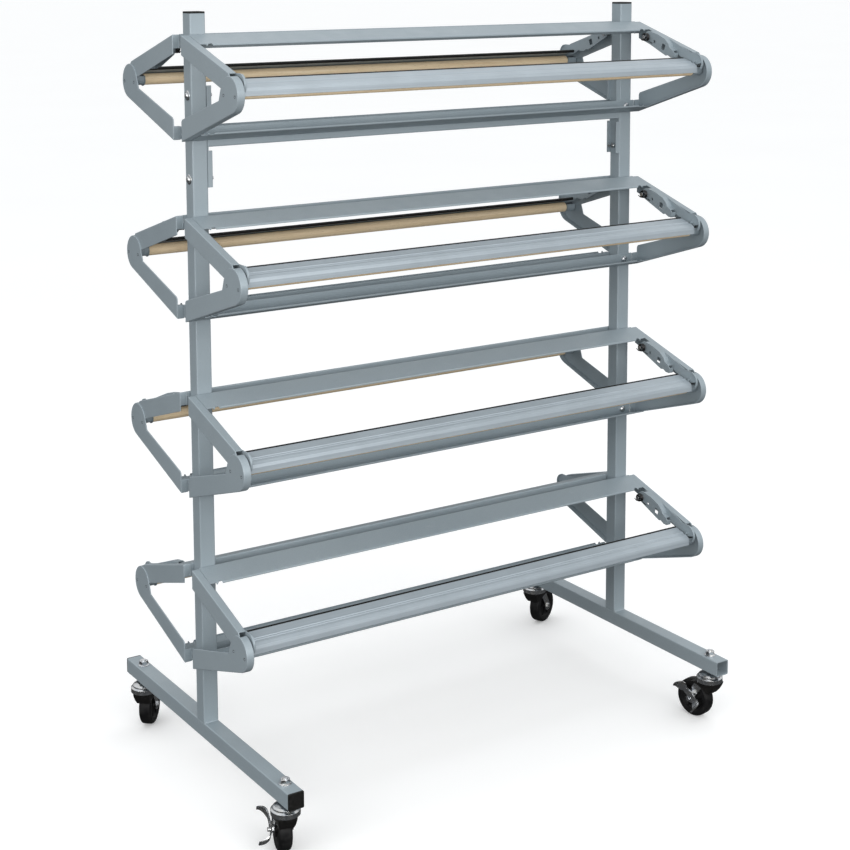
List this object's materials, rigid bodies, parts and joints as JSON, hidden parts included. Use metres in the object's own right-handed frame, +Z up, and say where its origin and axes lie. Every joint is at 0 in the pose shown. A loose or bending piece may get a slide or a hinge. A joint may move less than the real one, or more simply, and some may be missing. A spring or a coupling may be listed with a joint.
{
  "type": "mobile roll dispenser rack",
  "caption": "Mobile steel rack on swivel casters that holds wide paper or film rolls on wooden dowels, with hinged sprung cutter bars on both sides.",
  "frame": {"origin": "middle of the floor rectangle under the rack", "axes": "+Z up, X along the rolls, -Y towards the front places"},
  "size_m": [1.4484, 0.9243, 1.928],
  "materials": {
    "grey_paint": "satin powder coat",
    "black_plastic": "moulded",
    "zinc": "bright zinc plate",
    "spring_steel": "blackened wire",
    "aluminium": "extruded, satin",
    "wood": "sanded beech",
    "wheel_rubber": "moulded"
  },
  "bodies": {
    "frame": {"left_post": "grey_paint", "right_post": "grey_paint", "left_foot": "grey_paint", "right_foot": "grey_paint", "tube_caps": "black_plastic", "cross_brace": "grey_paint", "frame_bolts": "zinc", "arm_pivots": "zinc", "arm_springs": "spring_steel", "caster_stems": "zinc", "front_1_brackets": "grey_paint", "front_1_rails": "grey_paint", "front_2_brackets": "grey_paint", "front_2_rails": "grey_paint", "front_3_brackets": "grey_paint", "front_3_rails": "grey_paint", "front_4_brackets": "grey_paint", "front_4_rails": "grey_paint", "rear_1_brackets": "grey_paint", "rear_1_rails": "grey_paint", "rear_2_brackets": "grey_paint", "rear_2_rails": "grey_paint", "rear_3_brackets": "grey_paint", "rear_3_rails": "grey_paint", "rear_4_brackets": "grey_paint", "rear_4_rails": "grey_paint"},
    "front_1_cutter": {"front_1_cutter_arms": "grey_paint", "front_1_cutter_bar": "aluminium"},
    "front_1_dowel": {"front_1_roll_dowel": "wood"},
    "front_2_cutter": {"front_2_cutter_arms": "grey_paint", "front_2_cutter_bar": "aluminium"},
    "front_2_dowel": {"front_2_roll_dowel": "wood"},
    "front_3_cutter": {"front_3_cutter_arms": "grey_paint", "front_3_cutter_bar": "aluminium"},
    "front_3_dowel": {"front_3_roll_dowel": "wood"},
    "front_4_cutter": {"front_4_cutter_arms": "grey_paint", "front_4_cutter_bar": "aluminium"},
    "front_4_dowel": {"front_4_roll_dowel": "wood"},
    "rear_1_cutter": {"rear_1_cutter_arms": "grey_paint", "rear_1_cutter_bar": "aluminium"},
    "rear_1_dowel": {"rear_1_roll_dowel": "wood"},
    "rear_2_cutter": {"rear_2_cutter_arms": "grey_paint", "rear_2_cutter_bar": "aluminium"},
    "rear_2_dowel": {"rear_2_roll_dowel": "wood"},
    "rear_3_cutter": {"rear_3_cutter_arms": "grey_paint", "rear_3_cutter_bar": "aluminium"},
    "rear_3_dowel": {"rear_3_roll_dowel": "wood"},
    "rear_4_cutter": {"rear_4_cutter_arms": "grey_paint", "rear_4_cutter_bar": "aluminium"},
    "rear_4_dowel": {"rear_4_roll_dowel": "wood"},
    "front_left_fork": {"front_left_caster_fork": "zinc"},
    "front_left_wheel": {"front_left_caster_wheel": "wheel_rubber"},
    "front_left_brake": {"front_left_brake_lever": "zinc"},
    "front_right_fork": {"front_right_caster_fork": "zinc"},
    "front_right_wheel": {"front_right_caster_wheel": "wheel_rubber"},
    "front_right_brake": {"front_right_brake_lever": "zinc"},
    "rear_left_fork": {"rear_left_caster_fork": "zinc"},
    "rear_left_wheel": {"rear_left_caster_wheel": "wheel_rubber"},
    "rear_right_fork": {"rear_right_caster_fork": "zinc"},
    "rear_right_wheel": {"rear_right_caster_wheel": "wheel_rubber"}
  },
  "joints": [
    {"name": "front_1_cutter_lift", "type": "hinge", "parent": "frame", "child": "front_1_cutter", "pos_m": [-0.0186, -0.1136, 1.8353], "axis": [-1, 0, 0], "range_deg": [0, 70], "stiffness_Nm_per_rad": 1.5, "springref_deg": -20.05},
    {"name": "front_1_dowel_spin", "type": "hinge", "parent": "frame", "child": "front_1_dowel", "pos_m": [-0.0186, -0.2776, 1.7528], "axis": [1, 0, 0], "continuous": true},
    {"name": "front_2_cutter_lift", "type": "hinge", "parent": "frame", "child": "front_2_cutter", "pos_m": [-0.0186, -0.1136, 1.4038], "axis": [-1, 0, 0], "range_deg": [0, 70], "stiffness_Nm_per_rad": 1.5, "springref_deg": -20.05},
    {"name": "front_2_dowel_spin", "type": "hinge", "parent": "frame", "child": "front_2_dowel", "pos_m": [-0.0186, -0.2776, 1.3213], "axis": [1, 0, 0], "continuous": true},
    {"name": "front_3_cutter_lift", "type": "hinge", "parent": "frame", "child": "front_3_cutter", "pos_m": [-0.0186, -0.1136, 0.9723], "axis": [-1, 0, 0], "range_deg": [0, 70], "stiffness_Nm_per_rad": 1.5, "springref_deg": -20.05},
    {"name": "front_3_dowel_spin", "type": "hinge", "parent": "frame", "child": "front_3_dowel", "pos_m": [-0.0186, -0.2776, 0.8898], "axis": [1, 0, 0], "continuous": true},
    {"name": "front_4_cutter_lift", "type": "hinge", "parent": "frame", "child": "front_4_cutter", "pos_m": [-0.0186, -0.1136, 0.5408], "axis": [-1, 0, 0], "range_deg": [0, 70], "stiffness_Nm_per_rad": 1.5, "springref_deg": -20.05},
    {"name": "front_4_dowel_spin", "type": "hinge", "parent": "frame", "child": "front_4_dowel", "pos_m": [-0.0186, -0.2776, 0.4583], "axis": [1, 0, 0], "continuous": true},
    {"name": "rear_1_cutter_lift", "type": "hinge", "parent": "frame", "child": "rear_1_cutter", "pos_m": [-0.0186, 0.0984, 1.8353], "axis": [1, 0, 0], "range_deg": [0, 70], "stiffness_Nm_per_rad": 1.5, "springref_deg": -20.05},
    {"name": "rear_1_dowel_spin", "type": "hinge", "parent": "frame", "child": "rear_1_dowel", "pos_m": [-0.0186, 0.2624, 1.7528], "axis": [1, 0, 0], "continuous": true},
    {"name": "rear_2_cutter_lift", "type": "hinge", "parent": "frame", "child": "rear_2_cutter", "pos_m": [-0.0186, 0.0984, 1.4038], "axis": [1, 0, 0], "range_deg": [0, 70], "stiffness_Nm_per_rad": 1.5, "springref_deg": -20.05},
    {"name": "rear_2_dowel_spin", "type": "hinge", "parent": "frame", "child": "rear_2_dowel", "pos_m": [-0.0186, 0.2624, 1.3213], "axis": [1, 0, 0], "continuous": true},
    {"name": "rear_3_cutter_lift", "type": "hinge", "parent": "frame", "child": "rear_3_cutter", "pos_m": [-0.0186, 0.0984, 0.9723], "axis": [1, 0, 0], "range_deg": [0, 70], "stiffness_Nm_per_rad": 1.5, "springref_deg": -20.05},
    {"name": "rear_3_dowel_spin", "type": "hinge", "parent": "frame", "child": "rear_3_dowel", "pos_m": [-0.0186, 0.2624, 0.8898], "axis": [1, 0, 0], "continuous": true},
    {"name": "rear_4_cutter_lift", "type": "hinge", "parent": "frame", "child": "rear_4_cutter", "pos_m": [-0.0186, 0.0984, 0.5408], "axis": [1, 0, 0], "range_deg": [0, 70], "stiffness_Nm_per_rad": 1.5, "springref_deg": -20.05},
    {"name": "rear_4_dowel_spin", "type": "hinge", "parent": "frame", "child": "rear_4_dowel", "pos_m": [-0.0186, 0.2624, 0.4583], "axis": [1, 0, 0], "continuous": true},
    {"name": "front_left_swivel", "type": "hinge", "parent": "frame", "child": "front_left_fork", "pos_m": [-0.6686, -0.4086, 0.12], "axis": [0, 0, 1], "continuous": true},
    {"name": "front_left_wheel_spin", "type": "hinge", "parent": "front_left_fork", "child": "front_left_wheel", "pos_m": [-0.65477, -0.36473, 0.051], "axis": [-0.9537, 0.3007, 0], "continuous": true},
    {"name": "front_left_brake_rock", "type": "hinge", "parent": "front_left_fork", "child": "front_left_brake", "pos_m": [-0.68146, -0.35958, 0.06405], "axis": [0.1933, 0.613, -0.766], "range_deg": [0, 9]},
    {"name": "front_right_swivel", "type": "hinge", "parent": "frame", "child": "front_right_fork", "pos_m": [0.6314, -0.4086, 0.12], "axis": [0, 0, 1], "continuous": true},
    {"name": "front_right_wheel_spin", "type": "hinge", "parent": "front_right_fork", "child": "front_right_wheel", "pos_m": [0.62341, -0.3633, 0.051], "axis": [-0.9848, -0.1736, 0], "continuous": true},
    {"name": "front_right_brake_rock", "type": "hinge", "parent": "front_right_fork", "child": "front_right_brake", "pos_m": [0.59736, -0.37106, 0.06405], "axis": [-0.1116, 0.633, -0.766], "range_deg": [0, 9]},
    {"name": "rear_left_swivel", "type": "hinge", "parent": "frame", "child": "rear_left_fork", "pos_m": [-0.6686, 0.3804, 0.12], "axis": [0, 0, 1], "continuous": true},
    {"name": "rear_left_wheel_spin", "type": "hinge", "parent": "rear_left_fork", "child": "rear_left_wheel", "pos_m": [-0.63903, 0.41564, 0.051], "axis": [-0.766, 0.6428, 0], "continuous": true},
    {"name": "rear_right_swivel", "type": "hinge", "parent": "frame", "child": "rear_right_fork", "pos_m": [0.6314, 0.3804, 0.12], "axis": [0, 0, 1], "continuous": true},
    {"name": "rear_right_wheel_spin", "type": "hinge", "parent": "rear_right_fork", "child": "rear_right_wheel", "pos_m": [0.67342, 0.39911, 0.051], "axis": [-0.4067, 0.9135, 0], "continuous": true}
  ]
}
